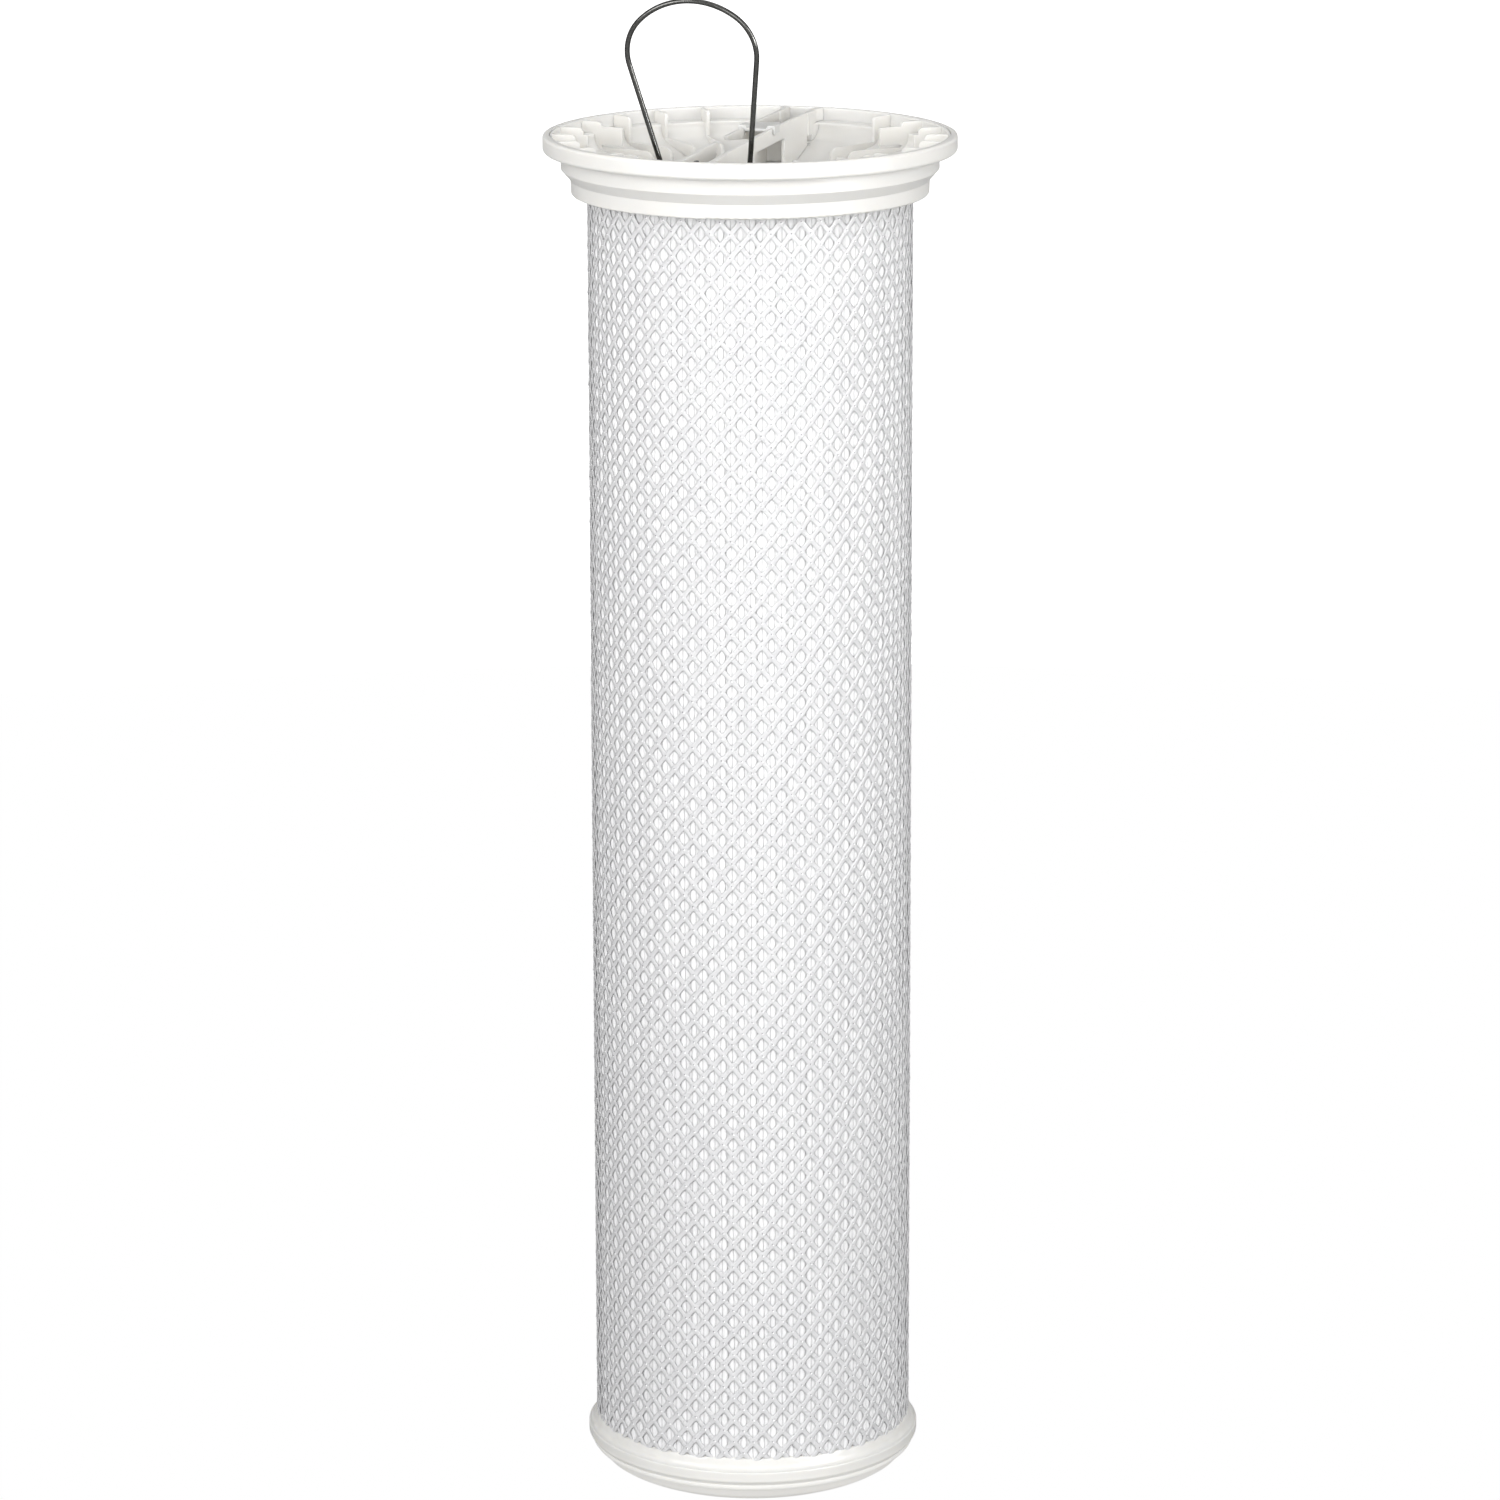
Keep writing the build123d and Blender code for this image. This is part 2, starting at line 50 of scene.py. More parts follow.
# ------------------------------------------------------------------ camera
cam_data = bpy.data.cameras.new("camera")
cam_data.sensor_width = 36.0
cam_data.lens = 148.51
cam_data.clip_start, cam_data.clip_end = 0.1, 50.0
cam = bpy.data.objects.new("camera", cam_data)
cam.location = (0.9112, -3.2202, 1.2406)
aim = Euler((math.radians(76.13), 0.0, math.radians(15.813))).to_matrix()
cam.rotation_euler = (aim @ Matrix.Rotation(math.radians(-0.127), 3, "Z")).to_euler()
bpy.context.scene.collection.objects.link(cam)
bpy.context.scene.camera = cam

bpy.context.scene.view_settings.view_transform = "Standard"
bpy.context.scene.view_settings.look = "None"


# ------------------------------------------------------------------ node helpers
class Tree:
    """A small helper that makes a material's node tree."""

    def __init__(self, name):
        self.mat = bpy.data.materials.new(name)
        self.mat.use_nodes = True
        self.nt = self.mat.node_tree
        self.nt.nodes.clear()
        self.out = self.nt.nodes.new("ShaderNodeOutputMaterial")
        self.bsdf = self.nt.nodes.new("ShaderNodeBsdfPrincipled")
        self.link(self.bsdf.outputs["BSDF"], self.out.inputs["Surface"])
        self.coord = self.nt.nodes.new("ShaderNodeTexCoord").outputs["Object"]

    def link(self, a, b):
        self.nt.links.new(a, b)

    def new(self, kind, **values):
        n = self.nt.nodes.new(kind)
        for k, v in values.items():
            setattr(n, k, v)
        return n

    def set(self, **values):
        for k, v in values.items():
            self.bsdf.inputs[k.replace("_", " ")].default_value = v

    def put(self, n, socket, value):
        if hasattr(value, "is_output"):
            self.link(value, n.inputs[socket])
        else:
            n.inputs[socket].default_value = value

    def noise(self, scale, detail=3.0, rough=0.5, vector=None, distortion=0.0):
        n = self.new("ShaderNodeTexNoise")
        self.link(vector if vector is not None else self.coord, n.inputs["Vector"])
        n.inputs["Scale"].default_value = scale
        n.inputs["Detail"].default_value = detail
        n.inputs["Roughness"].default_value = rough
        n.inputs["Distortion"].default_value = distortion
        return n.outputs["Fac"]

    def voronoi(self, scale, feature="F1", vector=None):
        n = self.new("ShaderNodeTexVoronoi", feature=feature)
        self.link(vector if vector is not None else self.coord, n.inputs["Vector"])
        n.inputs["Scale"].default_value = scale
        return n.outputs["Distance"]

    def scaled(self, x, y, z):
        m = self.new("ShaderNodeMapping")
        self.link(self.coord, m.inputs["Vector"])
        m.inputs["Scale"].default_value = (x, y, z)
        return m.outputs["Vector"]

    def math(self, op, a, b=0.0, clamp=False):
        n = self.new("ShaderNodeMath", operation=op, use_clamp=clamp)
        self.put(n, 0, a)
        self.put(n, 1, b)
        return n.outputs[0]

    def remap(self, value, a, b, c, d, smooth=False):
        n = self.new("ShaderNodeMapRange", interpolation_type="SMOOTHSTEP" if smooth else "LINEAR")
        self.link(value, n.inputs["Value"])
        for k, v in zip(("From Min", "From Max", "To Min", "To Max"), (a, b, c, d)):
            n.inputs[k].default_value = v
        return n.outputs["Result"]

    def ramp(self, value, stops):
        n = self.new("ShaderNodeValToRGB")
        self.link(value, n.inputs["Fac"])
        els = n.color_ramp.elements
        while len(els) < len(stops):
            els.new(0.5)
        for e, (pos, col) in zip(els, stops):
            e.position = pos
            e.color = (*col, 1.0)
        return n.outputs["Color"]

    def mix(self, fac, a, b, kind="MIX"):
        n = self.new("ShaderNodeMix", data_type="RGBA", blend_type=kind)
        self.put(n, 0, fac)
        self.put(n, 6, a if hasattr(a, "is_output") else (*a, 1.0))
        self.put(n, 7, b if hasattr(b, "is_output") else (*b, 1.0))
        return n.outputs[2]

    def ao(self, distance, only_local=False):
        n = self.new("ShaderNodeAmbientOcclusion", samples=8, only_local=only_local)
        n.inputs["Distance"].default_value = distance
        return n.outputs["AO"]

    def bump(self, height, strength, distance, normal=None):
        n = self.new("ShaderNodeBump")
        n.inputs["Strength"].default_value = strength
        n.inputs["Distance"].default_value = distance
        self.link(height, n.inputs["Height"])
        if normal is not None:
            self.link(normal, n.inputs["Normal"])
        return n.outputs["Normal"]

    def bevel(self, radius):
        n = self.new("ShaderNodeBevel", samples=6)
        n.inputs["Radius"].default_value = radius
        return n.outputs["Normal"]


def height_z(t):
    s = t.new("ShaderNodeSeparateXYZ")
    t.link(t.coord, s.inputs[0])
    return s.outputs["Z"]


def housing_material(name, tone, edge=0.0006):
    """Moulded thermoplastic: fine grain, faint flow marks and soft edges."""
    t = Tree(name)
    flow = t.noise(9.0, 4.0, 0.55, t.scaled(1.0, 1.0, 3.5), 0.6)
    speck = t.noise(260.0, 2.0, 0.6)
    base = t.ramp(flow, [(0.30, tuple(c * 0.975 for c in tone)), (0.72, tone)])
    base = t.mix(t.remap(speck, 0.62, 0.78, 0.0, 0.10), base, tuple(c * 0.86 for c in tone))
    t.link(base, t.bsdf.inputs["Base Color"])
    t.link(t.remap(t.noise(38.0, 3.0), 0.3, 0.7, 0.30, 0.40), t.bsdf.inputs["Roughness"])
    soft = t.bevel(edge)
    t.link(t.bump(t.noise(520.0, 2.0), 0.05, 0.0002, soft), t.bsdf.inputs["Normal"])
    t.set(IOR=1.49, Subsurface_Weight=0.6, Subsurface_Radius=(1.0, 0.96, 0.88), Subsurface_Scale=0.0035)
    return t.mat


def wire_material():
    """Drawn stainless wire with fine marks along it; its tone is set far darker than stainless as a painted
    reflection of dark surroundings.
    """
    t = Tree("drawn_wire")
    marks = t.noise(900.0, 2.0, 0.6)
    # painted reflection: base tone 0.06 to 0.11 stands for the dark surroundings the polished wire reflects
    tone = t.ramp(marks, [(0.3, (0.06, 0.06, 0.058)), (0.7, (0.11, 0.11, 0.105))])
    t.link(tone, t.bsdf.inputs["Base Color"])
    t.link(t.remap(t.noise(300.0, 3.0), 0.3, 0.7, 0.13, 0.22), t.bsdf.inputs["Roughness"])
    t.link(t.bump(marks, 0.06, 0.0001), t.bsdf.inputs["Normal"])
    t.set(Metallic=1.0)
    return t.mat


def resin_material(name, tone, rough=0.34, sss=0.35):
    """Cast resin, faintly cloudy, with a few small bubbles."""
    t = Tree(name)
    cloud = t.noise(22.0, 4.0, 0.6, None, 0.8)
    base = t.ramp(cloud, [(0.28, tuple(c * 0.95 for c in tone)), (0.75, tone)])
    pits = t.remap(t.voronoi(420.0), 0.02, 0.10, 1.0, 0.0)
    base = t.mix(t.math("MULTIPLY", pits, 0.18), base, tuple(c * 0.7 for c in tone))
    t.link(base, t.bsdf.inputs["Base Color"])
    t.link(t.remap(cloud, 0.3, 0.7, rough - 0.05, rough + 0.06), t.bsdf.inputs["Roughness"])
    soft = t.bevel(0.0006)
    t.link(t.bump(t.math("SUBTRACT", t.noise(120.0, 3.0), pits), 0.07, 0.0004, soft), t.bsdf.inputs["Normal"])
    t.set(IOR=1.52, Subsurface_Weight=sss, Subsurface_Radius=(1.0, 0.92, 0.75), Subsurface_Scale=0.004)
    return t.mat


def net_material():
    """Natural extruded plastic netting: milky strands, glossier at the welds."""
    t = Tree("net_strand")
    milk = t.noise(70.0, 3.0, 0.5)
    base = t.ramp(milk, [(0.3, (0.60, 0.60, 0.61)), (0.7, (0.645, 0.645, 0.65))])
    # painted shade: the strands are mixed towards dark grey lower down, 5.5 % at the foot fading to none at 0.62
    # m, for the dimmer light there
    base = t.mix(t.remap(height_z(t), 0.0, 0.62, 0.055, 0.0), base, (0.10, 0.10, 0.13))
    t.link(base, t.bsdf.inputs["Base Color"])
    t.link(t.remap(t.noise(150.0), 0.3, 0.7, 0.24, 0.36), t.bsdf.inputs["Roughness"])
    t.link(t.bump(t.noise(900.0, 3.0, 0.6), 0.18, 0.0003), t.bsdf.inputs["Normal"])
    t.set(IOR=1.49, Transmission_Weight=0.12, Specular_IOR_Level=0.5)
    return t.mat


def media_material():
    """Point-bonded nonwoven fabric: fibres, bond dots and a soft sheen."""
    t = Tree("pleated_fabric")
    fibres = t.noise(1500.0, 4.0, 0.7, t.scaled(1.0, 1.0, 0.35), 1.2)
    dots = t.voronoi(900.0)
    cloud = t.noise(30.0, 3.0, 0.5, t.scaled(1.0, 1.0, 0.4))
    base = t.ramp(cloud, [(0.3, (0.765, 0.765, 0.77)), (0.7, (0.795, 0.795, 0.795))])
    base = t.mix(t.remap(dots, 0.0, 0.35, 0.10, 0.0), base, (0.74, 0.74, 0.75))
    # painted shade: the fabric is mixed towards dark grey lower down, 13.5 % at the foot fading to none at 0.62
    # m, for the dimmer light there
    base = t.mix(t.remap(height_z(t), 0.0, 0.62, 0.135, 0.0), base, (0.10, 0.10, 0.13))
    t.link(base, t.bsdf.inputs["Base Color"])
    t.link(t.remap(fibres, 0.3, 0.7, 0.78, 0.95), t.bsdf.inputs["Roughness"])
    height = t.math("ADD", t.math("MULTIPLY", fibres, 0.6), dots)
    t.link(t.bump(height, 0.30, 0.0003), t.bsdf.inputs["Normal"])
    t.set(Sheen_Weight=0.2, Sheen_Roughness=0.5, Specular_IOR_Level=0.2, Subsurface_Weight=0.12,
          Subsurface_Radius=(1.0, 1.0, 1.0), Subsurface_Scale=0.002, Emission_Color=(1.0, 1.0, 1.0, 1.0))
    # painted glow: the inner folds emit a faint light, strength 0.06 within 58 mm of the axis fading to none at
    # 78 mm, standing in for light that comes through the fabric
    flat = t.new("ShaderNodeVectorMath", operation="MULTIPLY")
    t.link(t.coord, flat.inputs[0])
    flat.inputs[1].default_value = (1.0, 1.0, 0.0)
    far = t.new("ShaderNodeVectorMath", operation="LENGTH")
    t.link(flat.outputs["Vector"], far.inputs[0])
    t.link(t.remap(far.outputs["Value"], 0.058, 0.078, 0.06, 0.0), t.bsdf.inputs["Emission Strength"])
    return t.mat


HOUSING = housing_material("housing_plastic", (0.725, 0.715, 0.69))
CLIP = housing_material("clip_plastic", (0.62, 0.62, 0.605), 0.0004)
CORE = housing_material("core_plastic", (0.80, 0.80, 0.78), 0.0004)
# painted glow: the core emits a faint light (strength 0.08) though it is no lamp, to brighten the throat seen
# inside
core_bsdf = next(n for n in CORE.node_tree.nodes if n.type == "BSDF_PRINCIPLED")
core_bsdf.inputs["Emission Color"].default_value = (1.0, 0.99, 0.96, 1.0)
core_bsdf.inputs["Emission Strength"].default_value = 0.08
WIRE = wire_material()
CAP = resin_material("cap_resin", (0.68, 0.673, 0.648))
# painted glow: the cap's foot emits light, strength 0.24 up to 10 mm height fading to none at 18.5 mm, standing
# in for floor light passing up through the cloudy resin
cap_tree = CAP.node_tree
cap_bsdf = next(n for n in cap_tree.nodes if n.type == "BSDF_PRINCIPLED")
cap_where = cap_tree.nodes.new("ShaderNodeTexCoord")
cap_split = cap_tree.nodes.new("ShaderNodeSeparateXYZ")
cap_glow = cap_tree.nodes.new("ShaderNodeMapRange")
for k, v in zip(("From Min", "From Max", "To Min", "To Max"), (0.010, 0.0185, 0.24, 0.0)):
    cap_glow.inputs[k].default_value = v
cap_tree.links.new(cap_where.outputs["Object"], cap_split.inputs[0])
cap_tree.links.new(cap_split.outputs["Z"], cap_glow.inputs["Value"])
cap_tree.links.new(cap_glow.outputs["Result"], cap_bsdf.inputs["Emission Strength"])
cap_bsdf.inputs["Emission Color"].default_value = (1.0, 0.985, 0.95, 1.0)
POTTING = resin_material("potting_resin", (0.77, 0.75, 0.68), 0.40, 0.2)
NET = net_material()
MEDIA = media_material()

finish_of = {
    "flange_ring": HOUSING, "inlet_funnel": HOUSING, "handle_bridge": HOUSING, "bridge_clip": CLIP,
    "bail_handle": WIRE, "top_potting": POTTING, "core_upper": CORE, "core_middle": CORE, "core_lower": CORE,
    "pleated_media": MEDIA, "side_seam": POTTING, "net_sleeve": NET, "bottom_cap": CAP, "bottom_potting": POTTING,
}
for name, mat in finish_of.items():
    o = nodes[name]
    o.data.materials.clear()
    o.data.materials.append(mat)


# ------------------------------------------------------------------ mesh helper
def make(name, co, faces, mat, body, smooth=True):
    me = bpy.data.meshes.new(name)
    co = np.asarray(co, np.float32).reshape(-1, 3)
    faces = np.asarray(faces, np.int32)
    me.vertices.add(len(co))
    me.vertices.foreach_set("co", co.ravel())
    k = faces.shape[1]
    me.loops.add(faces.size)
    me.loops.foreach_set("vertex_index", faces.ravel())
    me.polygons.add(len(faces))
    me.polygons.foreach_set("loop_start", np.arange(0, faces.size, k, dtype=np.int32))
    me.update(calc_edges=True)
    me.validate()
    if smooth:
        me.polygons.foreach_set("use_smooth", np.ones(len(me.polygons), bool))
    me.materials.append(mat)
    o = bpy.data.objects.new(name, me)
    bpy.context.scene.collection.objects.link(o)
    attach(o, body)
    return o


# ------------------------------------------------------------------ diamond net
NET_LO, NET_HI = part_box("net_sleeve")
Z0, Z1 = NET_LO.z, NET_HI.z
CELLS = 51                # diamonds round the sleeve
CELL_H = 0.01282          # height of a diamond
STEP = 2 * math.pi / CELLS
ROW0 = -0.0033            # where a row of crossings sits, measured down from the rim
PHASE = 0.0


def net_strand(k, lean, r_mid):
    """Places along the centre line of one strand of the net: distance in half cells, height and angle."""
    half = CELL_H / 2
    n_half = int(math.ceil((RIM - Z0) / half)) + 2
    frac = np.array([0.0, 0.14, 0.30, 0.50, 0.70, 0.86])
    s = (np.arange(n_half)[:, None] + frac[None]).ravel()      # in half cells, down from the top row
    z = RIM - ROW0 - s * half
    ang = PHASE + STEP * (k + lean * 0.5 * s)
    keep = (z <= Z1 + 1e-6) & (z >= Z0 - 1e-6)
    return s[keep], z[keep], ang[keep]


SIDES = 7


def build_net():
    co, faces, base = [], [], 0
    ring = np.arange(SIDES) * 2 * math.pi / SIDES
    slope = math.atan2(STEP * 0.0882 / 2, CELL_H / 2)
    seg_len = math.hypot(STEP * 0.0882 / 2, CELL_H / 2)
    for lean, r_mid in ((1, 0.08868), (-1, 0.08874)):
        for k in range(CELLS):
            s, z, ang = net_strand(k, lean, r_mid)
            d = np.abs(s - np.round(s)) * seg_len               # distance to the nearest crossing
            weld = np.exp(-(d / 0.0017) ** 2)
            wob = 0.00012 * np.sin(s * 1.7 + k * 2.1 + lean) + 0.00008 * np.sin(s * 0.61 + k)
            half_w = 0.00148 + 0.00075 * weld + 0.00004 * np.sin(s * 2.3 + k * 5.0)
            half_t = 0.00026 + 0.00012 * weld
            r = r_mid + 0.00006 * np.sin(s * 0.9 + k * 1.3)
            ca, sa = np.cos(ang), np.sin(ang)
            centre = np.stack([r * ca, r * sa, z], 1)
            tangent = np.stack([-sa, ca, np.zeros_like(z)], 1)
            out = np.stack([ca, sa, np.zeros_like(z)], 1)
            # across the strand, in the sleeve's surface
            side = tangent * math.cos(slope) + np.array([0, 0, 1.0])[None] * math.sin(slope) * lean
            centre = centre + side * wob[:, None]
            pts = (centre[:, None] + side[:, None] * (half_w[:, None] * np.cos(ring)[None])[..., None]
                   + out[:, None] * (half_t[:, None] * np.sin(ring)[None])[..., None])
            n = len(s)
            co.append(pts.reshape(-1, 3))
            i = np.arange(n - 1)[:, None] * SIDES + np.arange(SIDES)[None]
            j = np.arange(n - 1)[:, None] * SIDES + (np.arange(SIDES)[None] + 1) % SIDES
            f = np.stack([i, j, j + SIDES, i + SIDES], -1).reshape(-1, 4) + base
            faces.append(f)
            base += n * SIDES
    return np.concatenate(co), np.concatenate(faces)


net_co, net_faces = build_net()
net = make("diamond_net", net_co, net_faces, NET, "cartridge")
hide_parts("net_sleeve")


def crossings():
    """Angle and height of every place where two strands weld."""
    half = CELL_H / 2
    out = []
    for j in range(int((RIM - Z0) / half) + 2):
        z = RIM - ROW0 - j * half
        if Z0 + 0.001 < z < Z1 - 0.001:
            out += [(PHASE + STEP * (k + 0.5 * (j % 2)), z) for k in range(CELLS)]
    return np.array(out)


def dots(right, down, radius, r_edge, r_mid_dot, spread):
    """A small round patch beside every weld; its middle stands at another radius than its edge."""
    c = crossings()
    n = len(c)
    ang = c[:, 0] + (right + rng.normal(0, spread, n)) / r_edge
    z = c[:, 1] - down + rng.normal(0, spread, n)
    size = radius * rng.uniform(0.8, 1.2, n)
    ring = np.arange(7) * 2 * math.pi / 7
    a = ang[:, None] + size[:, None] * np.cos(ring)[None] / r_edge
    zz = z[:, None] + size[:, None] * np.sin(ring)[None]
    edge = np.stack([r_edge * np.cos(a), r_edge * np.sin(a), zz], -1)
    mid = np.stack([r_mid_dot * np.cos(ang), r_mid_dot * np.sin(ang), z], -1)[:, None]
    co = np.concatenate([edge, mid], 1).reshape(-1, 3)
    i = np.arange(7)
    f = np.stack([i, (i + 1) % 7, np.full(7, 7)], 1)
    faces = (np.arange(n)[:, None, None] * 8 + f[None]).reshape(-1, 3)
    return co, faces


def painted_weld_shade_material():
    """Painted shade: a dark patch at each weld, coloured to stand for the shadow in the hollow where two strands
    run together.
    """
    t = Tree("painted_weld_shade_dot")
    t.link(t.ramp(t.noise(300.0, 2.0), [(0.3, (0.16, 0.16, 0.17)), (0.7, (0.30, 0.30, 0.32))]), t.bsdf.inputs["Base Color"])
    t.set(Roughness=0.5, Specular_IOR_Level=0.3)
    return t.mat


def painted_highlight_bead_material():
    """Painted highlight: a raised drop of polymer beside each weld, coloured far lighter than the strands to
    stand for the glint on it.
    """
    t = Tree("painted_highlight_weld_bead")
    t.link(t.ramp(t.noise(300.0, 2.0), [(0.3, (0.90, 0.90, 0.91)), (0.7, (0.96, 0.96, 0.96))]), t.bsdf.inputs["Base Color"])
    t.set(Roughness=0.15, Specular_IOR_Level=0.6)
    return t.mat


# painted shade: a dark patch, set slightly in, at every weld
shade_dot_co, shade_dot_faces = dots(-0.00010, -0.00035, 0.00034, 0.08926, 0.08922, 0.00006)
make("net_painted_weld_shade", shade_dot_co, shade_dot_faces, painted_weld_shade_material(), "cartridge")
# painted highlight: a raised light drop beside every weld
bead_co, bead_faces = dots(0.00050, 0.00020, 0.00042, 0.08915, 0.08952, 0.00008)
make("net_weld_highlight_beads", bead_co, bead_faces, painted_highlight_bead_material(), "cartridge")


def lathe(profile, turns=192, wave=0.0):
    """Turn a profile of (radius, height) round the axis; wave makes its inner edge uneven."""
    prof = np.array(profile)
    m = len(prof)
    th = np.arange(turns) * 2 * math.pi / turns
    lift = wave * (np.sin(th * 51) * 0.5 + np.sin(th * 17 + 1.0) * 0.3 + np.sin(th * 5 + 2.0) * 0.4)
    w = np.linspace(1, 0, m)
    z = prof[:, 1][None] + lift[:, None] * w[None]
    co = np.stack([prof[:, 0][None] * np.cos(th)[:, None], prof[:, 0][None] * np.sin(th)[:, None], z], -1).reshape(-1, 3)
    i = np.arange(turns)[:, None] * m + np.arange(m - 1)[None]
    j = ((np.arange(turns) + 1) % turns)[:, None] * m + np.arange(m - 1)[None]
    faces = np.stack([i, i + 1, j + 1, j], -1).reshape(-1, 4)
    return co, faces[:, ::-1]


# resin that rose round the foot of the net
foot = [(0.0872, 0.0292), (0.0887, 0.0286), (0.0893, 0.0272), (0.0897, 0.0256), (0.0902, 0.0241), (0.0909, 0.0230), (0.0918, 0.02215), (0.0926, 0.0220)]
foot_co, foot_faces = lathe(foot, 408, 0.0008)
make("foot_resin", foot_co, foot_faces, CAP, "cartridge")


# ------------------------------------------------------------------ pleats
MED_LO, MED_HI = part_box("pleated_media")
PLEATS = 162
R_OUT, R_IN = 0.0883, 0.0551
SHEET = 0.0005


def pleat_section():
    """One closed outline of the folded sheet: rounded crests outside, rounded valleys inside, outer side then inner side."""
    step = 2 * math.pi / PLEATS
    outer, inner = [], []
    wide = math.pi * R_OUT / PLEATS - 0.00005   # half the width of an outside fold, next to its neighbours
    deep = 0.00070                        # how far the outside fold rounds over
    r_v = 0.00055                         # radius of the inside fold
    for k in range(PLEATS):
        a = k * step
        jit = 0.00010 * math.sin(k * 2.7) + 0.00008 * math.sin(k * 0.73)
        crest = R_OUT - deep + jit
        for u in (-90, -68, -45, -22, 0, 22, 45, 68, 90):
            c, s = math.cos(math.radians(u)), math.sin(math.radians(u))
            r = crest + deep * c
            outer.append((r, a + wide * s / r))
            r2 = crest + (deep - SHEET) * c
            inner.append((r2, a + (wide - SHEET) * s / r2))
        b = (k + 0.5) * step
        valley = R_IN + r_v
        for u in (-90, -30, 30, 90):
            c, s = math.cos(math.radians(u)), math.sin(math.radians(u))
            w_in = max(r_v - SHEET, 0.00012)
            r = valley - w_in * c
            outer.append((r, b + w_in * s / r))
            r2 = valley - r_v * c
            inner.append((r2, b + r_v * s / r2))
    return outer, inner


def build_pleats():
    outer, inner = pleat_section()
    zs = np.linspace(MED_LO.z + 0.0001, MED_HI.z - 0.0001, 24)
    n = len(outer)
    o = np.array(outer)
    i = np.array(inner)
    co = []
    for q, z in enumerate(zs):
        sway = 0.0016 * math.sin(z * 21.0) * (2 * math.pi / PLEATS)
        wave = 0.0
        for arr in (o, i):
            r, a = arr[:, 0], arr[:, 1]
            outness = np.clip((r - R_IN) / (R_OUT - R_IN), 0, 1)
            # folds drift a little from side to side along their length
            drift = outness * (2 * math.pi / PLEATS) * (0.10 * np.sin(z * 17.0 + a * 9.0) + 0.07 * np.sin(z * 39.0 + a * 23.0))
            rr = r - outness * 0.00022 * (1 + np.sin(z * 55.0 + a * 31.0)) / 2
            co.append(np.stack([rr * np.cos(a + drift), rr * np.sin(a + drift), np.full(n, z)], 1))
    co = np.concatenate(co)
    faces = []
    idx = np.arange(n)
    nxt = (idx + 1) % n
    for q in range(len(zs) - 1):
        a0, a1 = (2 * q) * n, (2 * q + 2) * n
        faces.append(np.stack([a0 + idx, a0 + nxt, a1 + nxt, a1 + idx], 1))
        b0, b1 = (2 * q + 1) * n, (2 * q + 3) * n
        faces.append(np.stack([b0 + nxt, b0 + idx, b1 + idx, b1 + nxt], 1))
    for q, flip in ((0, True), (len(zs) - 1, False)):
        a0, b0 = 2 * q * n, (2 * q + 1) * n
        f = np.stack([a0 + idx, a0 + nxt, b0 + nxt, b0 + idx], 1)
        faces.append(f if flip else f[:, ::-1])
    return co, np.concatenate(faces)


pl_co, pl_faces = build_pleats()
pleats = make("pleated_fabric", pl_co, pl_faces, MEDIA, "cartridge")
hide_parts("pleated_media")


# ------------------------------------------------------------------ floor and light
def floor_material():
    t = Tree("floor")
    n = t.noise(3.0, 4.0, 0.5)
    t.link(t.ramp(n, [(0.3, (0.80, 0.80, 0.80)), (0.7, (0.83, 0.83, 0.83))]), t.bsdf.inputs["Base Color"])
    t.set(Roughness=0.9, Specular_IOR_Level=0.1, Emission_Color=(1.0, 1.0, 1.0, 1.0), Emission_Strength=1.0)
    return t.mat


def bowl():
    """A pale floor that curves up all round, far behind the object and the camera."""
    prof = [(0.0, 0.0), (2.0, 0.0), (6.0, 0.0), (12.0, 0.0)]
    for q in range(1, 13):
        a = math.radians(90 * q / 12)
        prof.append((12.0 + 3.0 * math.sin(a), 3.0 * (1 - math.cos(a))))
    prof.append((15.0, 14.0))
    m = 96
    co = [(r * math.cos(2 * math.pi * c / m), r * math.sin(2 * math.pi * c / m), z) for (r, z) in prof[1:] for c in range(m)]
    faces = [(r * m + c, r * m + (c + 1) % m, (r + 1) * m + (c + 1) % m, (r + 1) * m + c)
             for r in range(len(prof) - 2) for c in range(m)]
    faces.append(tuple(range(m)))
    me = bpy.data.meshes.new("floor")
    me.from_pydata(co, [], faces)
    me.polygons.foreach_set("use_smooth", np.ones(len(me.polygons), bool))
    me.materials.append(floor_material())
    o = bpy.data.objects.new("floor", me)
    o.location = (0, 0, -0.0002)
    o.visible_diffuse = False
    o.visible_glossy = False
    bpy.context.scene.collection.objects.link(o)
    return o


bowl()

PH = math.radians(15.8)
world = bpy.data.worlds.new("studio")
bpy.context.scene.world = world
world.use_nodes = True
wt = world.node_tree
bg = wt.nodes["Background"]


def w_node(kind, **kw):
    n = wt.nodes.new(kind)
    for k, v in kw.items():
        setattr(n, k, v)
    return n


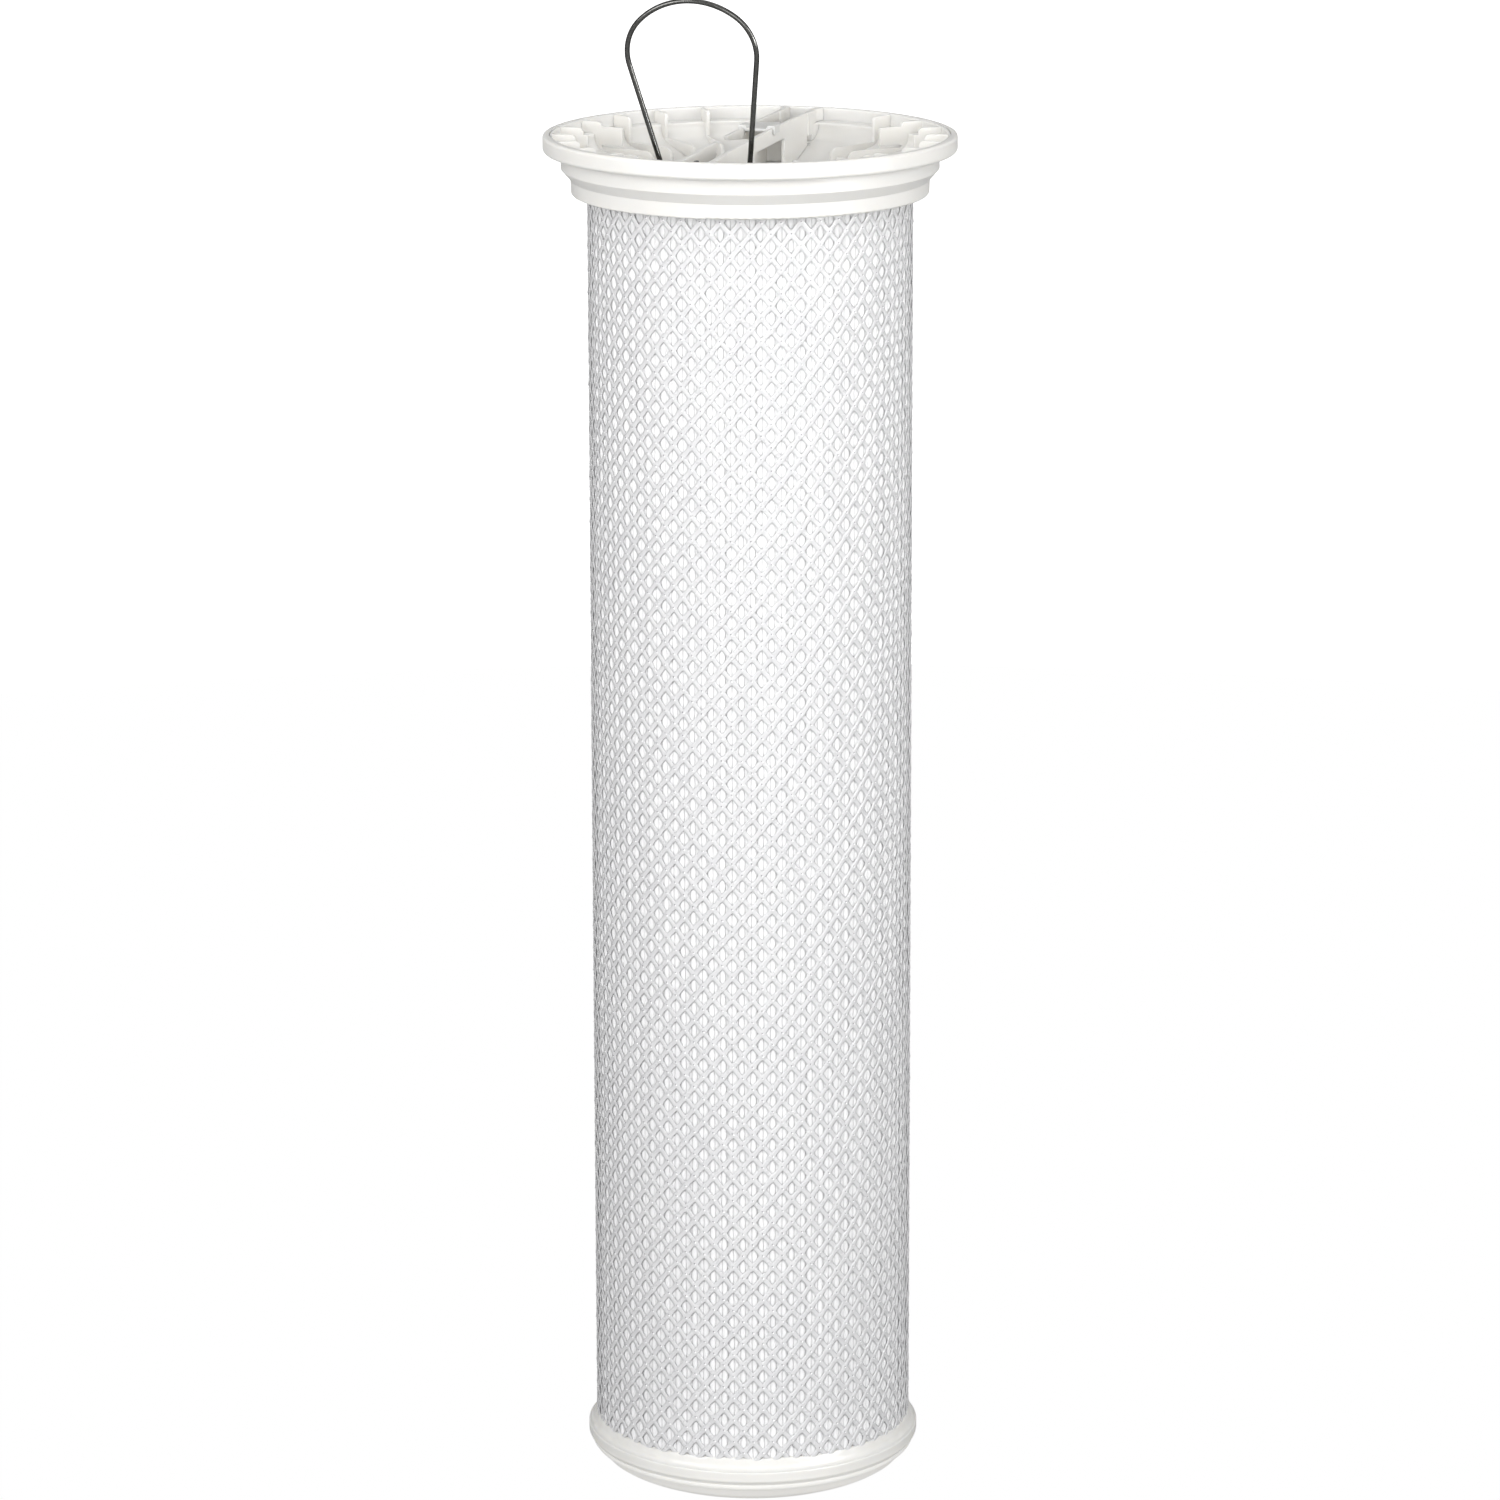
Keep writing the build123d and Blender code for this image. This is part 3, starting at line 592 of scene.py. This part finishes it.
def w_remap(value, a, b, c, d):
    n = w_node("ShaderNodeMapRange", interpolation_type="SMOOTHSTEP")
    wt.links.new(value, n.inputs["Value"])
    for k, v in zip(("From Min", "From Max", "To Min", "To Max"), (a, b, c, d)):
        n.inputs[k].default_value = v
    return n.outputs["Result"]


def w_dot(vec):
    n = w_node("ShaderNodeVectorMath", operation="DOT_PRODUCT")
    wt.links.new(w_dir, n.inputs[0])
    n.inputs[1].default_value = vec
    return n.outputs["Value"]


def w_add(a, b):
    n = w_node("ShaderNodeMath", operation="ADD")
    wt.links.new(a, n.inputs[0])
    wt.links.new(b, n.inputs[1])
    return n.outputs[0]


w_dir = w_node("ShaderNodeTexCoord").outputs["Generated"]
studio_front = (math.sin(PH), -math.cos(PH), 0.0)       # the open, bright side of the tent
level = w_add(w_remap(w_dot(studio_front), -0.35, 0.95, WORLD_BACK, WORLD_FRONT),
              w_remap(w_dot((0.0, 0.0, 1.0)), -0.4, 0.8, 0.0, WORLD_TOP))
wt.links.new(level, bg.inputs["Strength"])
bg.inputs["Color"].default_value = (1.0, 1.0, 1.0, 1.0)


def area(name, place, target, size, power, color=(1, 1, 1), size_y=None):
    d = bpy.data.lights.new(name, "AREA")
    d.energy = power
    d.color = color
    d.shape = "RECTANGLE"
    d.size = size
    d.size_y = size_y or size
    o = bpy.data.objects.new(name, d)
    o.location = place
    o.rotation_euler = (Vector(target) - Vector(place)).to_track_quat("-Z", "Y").to_euler()
    bpy.context.scene.collection.objects.link(o)
    return o


def from_camera(right, away, up):
    """A point given in the camera's own plan: right, away from the camera, up."""
    return (right * math.cos(PH) - away * math.sin(PH), right * math.sin(PH) + away * math.cos(PH), up)


area("key", from_camera(-1.25, -1.2, 1.15), (0, 0, 0.70), 0.9, 15, size_y=0.8)
area("fill", from_camera(1.3, -1.1, 1.10), (0, 0, 0.70), 0.9, 15, size_y=0.8)
area("front", from_camera(0.0, -1.7, 1.15), (0, 0, 0.70), 0.9, 9, size_y=0.6)
area("top", from_camera(0.0, 0.2, 2.8), (0, 0, 0.7), 1.6, 8)
strip = area("strip", from_camera(1.75, -1.25, 0.90), (0, 0, 0.86), 0.40, 22, size_y=0.45)
strip.visible_diffuse = False
